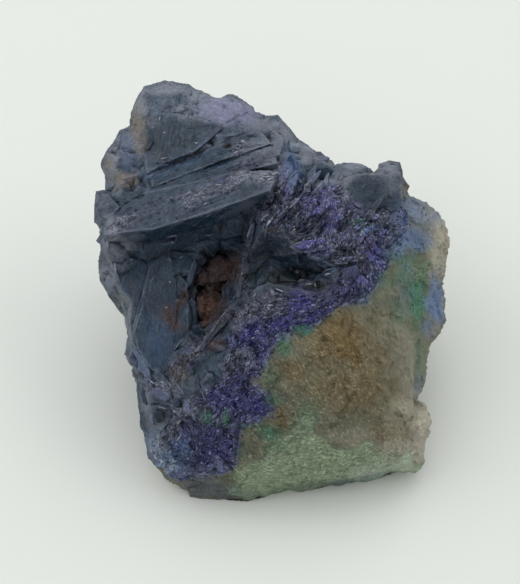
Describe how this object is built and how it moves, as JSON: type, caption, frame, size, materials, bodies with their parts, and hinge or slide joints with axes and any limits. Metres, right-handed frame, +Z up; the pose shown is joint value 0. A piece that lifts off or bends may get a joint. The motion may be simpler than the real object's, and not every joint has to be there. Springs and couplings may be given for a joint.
{
  "type": "azurite specimen",
  "caption": "Hand specimen of dark blue bladed azurite grown on an iron-stained, malachite-coated matrix, resting on its flat broken base.",
  "frame": {"origin": "centre of the bounding box's base, on the surface the specimen rests on", "axes": "+Z up, -Y towards the side with the open matrix face, +X to the right of someone who looks at that side"},
  "size_m": [0.049, 0.0496, 0.0323],
  "materials": {
    "azurite": "vitreous dark blue crystal, granular and violet-blue near the contact",
    "host_rock": "dull iron-stained rock with a skin of green malachite",
    "limonite": "earthy rust-brown limonite"
  },
  "bodies": {
    "root": {"azurite": "azurite", "matrix": "host_rock", "vug_limonite": "limonite"}
  },
  "joints": []
}
